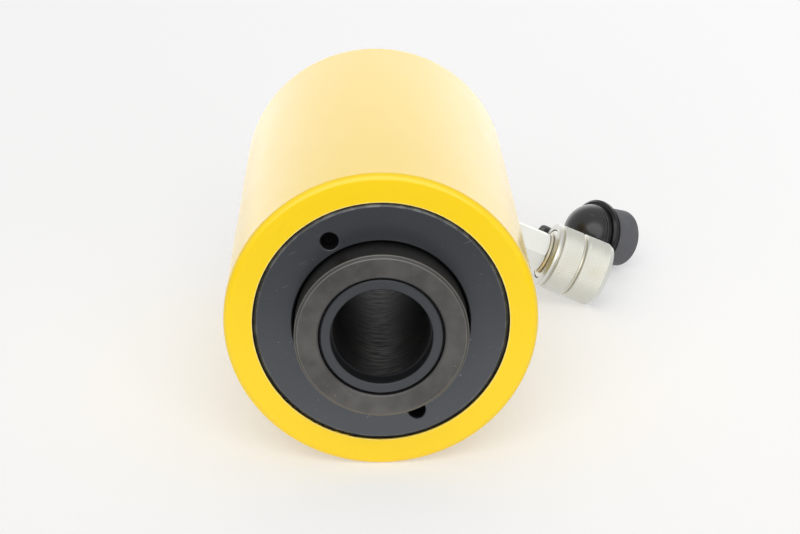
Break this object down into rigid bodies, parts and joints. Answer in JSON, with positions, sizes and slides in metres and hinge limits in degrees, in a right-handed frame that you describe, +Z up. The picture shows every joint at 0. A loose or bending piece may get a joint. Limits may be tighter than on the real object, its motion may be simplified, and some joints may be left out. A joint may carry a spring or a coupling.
{
  "type": "hollow plunger hydraulic cylinder",
  "caption": "Short thick-walled hydraulic cylinder with a hollow plunger, a hole right through it, spring return, a knurled screw coupler at the base and a tethered dust cap.",
  "frame": {"origin": "centre of the base face, on the axis of the through hole", "axes": "-Y is the way the plunger moves out, +Z is up as the cylinder lies on its side, and +X is the side of the coupler, which leans down to the table"},
  "size_m": [0.1923, 0.2386, 0.1212],
  "materials": {
    "yellow_paint": "glossy enamel",
    "black_steel": "black oxide, worn at the edges",
    "tube_steel": "black oxide, bore left as turned",
    "plunger_steel": "brown-grey, fine turned face",
    "plain_steel": "turned",
    "spring_steel": "oiled",
    "bright_steel": "polished",
    "nickel_plate": "satin plating with warm tints",
    "guide_bronze": "dry bearing band",
    "blue_polyurethane": "smooth",
    "white_ptfe": "waxy",
    "black_rubber": "matte",
    "black_cap": "moulded, glossy dome and matte plug"
  },
  "bodies": {
    "cylinder": {"cylinder_body": "yellow_paint", "retaining_ring": "black_steel", "plunger_wiper": "black_rubber", "guide_bush": "guide_bronze", "stop_tube": "plain_steel", "return_spring": "spring_steel", "centre_tube": "tube_steel", "tube_clip": "spring_steel", "tube_o_ring": "black_rubber", "tube_backup_ring": "white_ptfe", "coupler_body": "nickel_plate", "sleeve_snap_ring": "spring_steel", "valve_seat": "plain_steel", "ball_spring": "spring_steel", "probe_seal": "black_rubber"},
    "plunger": {"plunger": "plunger_steel", "piston_seal": "blue_polyurethane", "piston_backup_ring": "white_ptfe", "piston_guide": "guide_bronze", "tube_seal": "blue_polyurethane", "tube_seal_backup": "white_ptfe", "tube_guide": "guide_bronze", "tube_wiper": "black_rubber"},
    "sleeve": {"coupler_sleeve": "nickel_plate"},
    "ball": {"check_ball": "bright_steel"},
    "cap": {"dust_cap": "black_cap", "tether_ring": "nickel_plate", "cap_tether": "black_rubber"}
  },
  "joints": [
    {"name": "plunger_stroke", "type": "slide", "parent": "cylinder", "child": "plunger", "axis": [0, -1, 0], "range_m": [0, 0.06], "stiffness_N_per_m": 9000, "springref_m": -0.03, "deforming": ["return_spring"]},
    {"name": "sleeve_spin", "type": "hinge", "parent": "cylinder", "child": "sleeve", "pos_m": [0, -0.0195, 0], "axis": [0.9154, 0, -0.4026], "continuous": true},
    {"name": "ball_lift", "type": "slide", "parent": "cylinder", "child": "ball", "axis": [-0.9154, 0, 0.4026], "range_m": [0, 0.003], "stiffness_N_per_m": 800, "springref_m": -0.003, "deforming": ["ball_spring"]},
    {"name": "cap_swing", "type": "hinge", "parent": "cylinder", "child": "cap", "pos_m": [0, -0.0195, 0], "axis": [0.9154, 0, -0.4026], "continuous": true}
  ]
}
